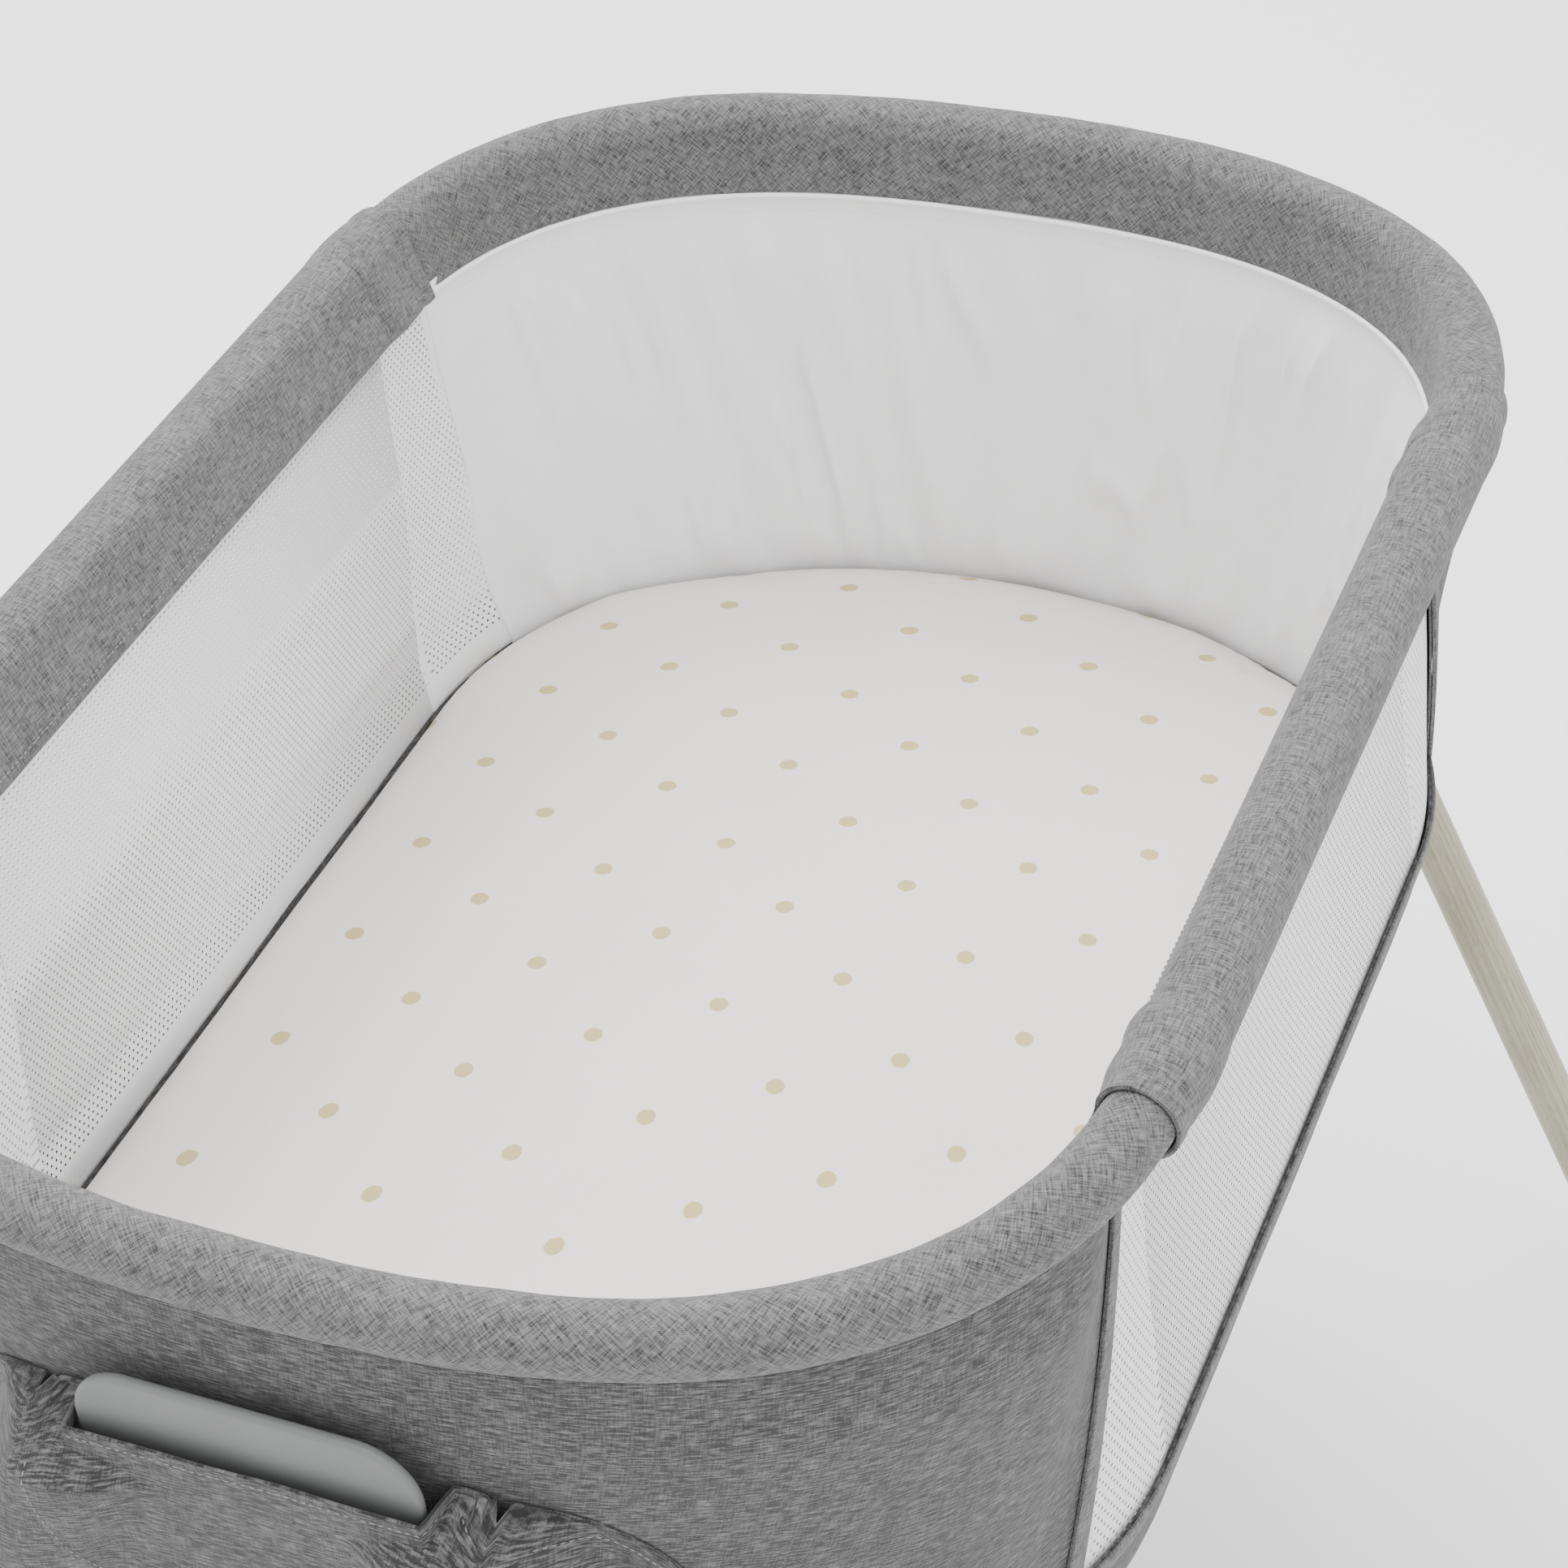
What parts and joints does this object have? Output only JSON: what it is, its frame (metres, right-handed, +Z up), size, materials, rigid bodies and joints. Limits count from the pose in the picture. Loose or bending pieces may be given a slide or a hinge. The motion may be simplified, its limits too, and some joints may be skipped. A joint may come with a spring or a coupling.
{
  "type": "bassinet on stand",
  "caption": "Oval portable bassinet with a padded rim, mesh sides and a dotted mattress, on two detachable splayed leg sets; the rim folds down onto the mattress.",
  "frame": {"origin": "on the floor, under the middle of the rim", "axes": "+Z up, +Y along the rim's length from the near end to the far end, +X to the right"},
  "size_m": [0.752, 0.8746, 0.758],
  "materials": {
    "melange": "woven grey melange polyester, matt",
    "mesh": "white spacer mesh",
    "liner": "smooth white coated polyester",
    "sheet": "off-white cotton jersey with small tan dots",
    "foam": "open-cell foam pad",
    "board": "hardboard",
    "steel": "zinc-plated steel",
    "moulding": "light grey polypropylene, fine spark texture",
    "nylon": "dark grey glass-filled nylon",
    "leg": "whitewashed wood grain, satin",
    "rubber": "grey rubber"
  },
  "bodies": {
    "base": {"lower_shell": "melange", "base_ring": "steel", "base_crossbar_near": "steel", "base_crossbar_far": "steel", "mattress_board": "board", "mattress_core": "foam", "fitted_sheet": "sheet", "mesh_wall_left": "mesh", "mesh_wall_right": "mesh", "end_liner_near": "liner", "end_liner_far": "liner", "end_panel_near": "melange", "end_panel_far": "melange", "leg_pocket_near": "melange", "leg_pocket_far": "melange", "leg_mount_near": "nylon", "leg_mount_far": "nylon", "fold_bracket_near": "steel", "fold_bracket_far": "steel", "base_pin_near": "steel", "base_pin_far": "steel"},
    "rim": {"rail_sleeve_left": "melange", "rail_sleeve_right": "melange", "rail_tube_left": "steel", "rail_tube_right": "steel", "arc_cover_near": "melange", "arc_cover_far": "melange", "arc_tube_near": "steel", "arc_tube_far": "steel", "corner_connector_near_left": "nylon", "corner_connector_near_right": "nylon", "corner_connector_far_left": "nylon", "corner_connector_far_right": "nylon", "rim_hanger_near": "nylon", "rim_hanger_far": "nylon", "top_pin_near": "steel", "top_pin_far": "steel"},
    "lower_link_near": {"lower_link_near": "steel", "knee_pin_near": "steel"},
    "upper_link_near": {"upper_link_near": "steel"},
    "legs_near": {"leg_crown_near": "moulding", "leg_tube_near_left": "leg", "leg_tube_near_right": "leg", "foot_cap_near_left": "rubber", "foot_cap_near_right": "rubber"},
    "handle_near": {"release_handle_near": "moulding"},
    "bolt_near": {"latch_bolt_near": "steel"},
    "lower_link_far": {"lower_link_far": "steel", "knee_pin_far": "steel"},
    "upper_link_far": {"upper_link_far": "steel"},
    "legs_far": {"leg_crown_far": "moulding", "leg_tube_far_left": "leg", "leg_tube_far_right": "leg", "foot_cap_far_left": "rubber", "foot_cap_far_right": "rubber"},
    "handle_far": {"release_handle_far": "moulding"},
    "bolt_far": {"latch_bolt_far": "steel"}
  },
  "joints": [
    {"name": "rim_fold", "type": "hinge", "parent": "base", "child": "lower_link_near", "pos_m": [0, -0.38875, 0.508], "axis": [0, 1, 0], "range_deg": [0, 81], "deforming": ["mesh_wall_left", "mesh_wall_right", "end_liner_near", "end_liner_far", "end_panel_near", "end_panel_far", "leg_pocket_near", "leg_pocket_far"]},
    {"name": "near_upper_fold", "type": "hinge", "parent": "lower_link_near", "child": "upper_link_near", "pos_m": [-0.00522, -0.38875, 0.6075], "axis": [0, 1, 0], "range_deg": [-162, 0]},
    {"name": "far_lower_fold", "type": "hinge", "parent": "base", "child": "lower_link_far", "pos_m": [0, 0.38875, 0.508], "axis": [0, 1, 0], "range_deg": [-81, 0]},
    {"name": "far_upper_fold", "type": "hinge", "parent": "lower_link_far", "child": "upper_link_far", "pos_m": [0.00522, 0.38875, 0.6075], "axis": [0, 1, 0], "range_deg": [0, 162]},
    {"name": "rim_level", "type": "hinge", "parent": "upper_link_near", "child": "rim", "pos_m": [0, -0.38875, 0.707], "axis": [0, 1, 0], "range_deg": [0, 81]},
    {"name": "legs_near_pull_off", "type": "slide", "parent": "base", "child": "legs_near", "axis": [0, 0, -1], "range_m": [0, 0.3]},
    {"name": "handle_near_press", "type": "slide", "parent": "legs_near", "child": "handle_near", "axis": [0, 0, -1], "range_m": [0, 0.01], "stiffness_N_per_m": 600, "springref_m": -0.004},
    {"name": "bolt_near_draw", "type": "slide", "parent": "legs_near", "child": "bolt_near", "axis": [0, -1, 0], "range_m": [0, 0.012]},
    {"name": "legs_far_pull_off", "type": "slide", "parent": "base", "child": "legs_far", "axis": [0, 0, -1], "range_m": [0, 0.3]},
    {"name": "handle_far_press", "type": "slide", "parent": "legs_far", "child": "handle_far", "axis": [0, 0, -1], "range_m": [0, 0.01], "stiffness_N_per_m": 600, "springref_m": -0.004},
    {"name": "bolt_far_draw", "type": "slide", "parent": "legs_far", "child": "bolt_far", "axis": [0, 1, 0], "range_m": [0, 0.012]}
  ],
  "couplings": [
    {"joint": "near_upper_fold", "follows": "rim_fold", "ratio": -2},
    {"joint": "far_lower_fold", "follows": "rim_fold", "ratio": -1},
    {"joint": "far_upper_fold", "follows": "rim_fold", "ratio": 2},
    {"joint": "rim_level", "follows": "rim_fold", "ratio": 1},
    {"joint": "bolt_near_draw", "follows": "handle_near_press", "ratio": 1.2},
    {"joint": "bolt_far_draw", "follows": "handle_far_press", "ratio": 1.2}
  ]
}
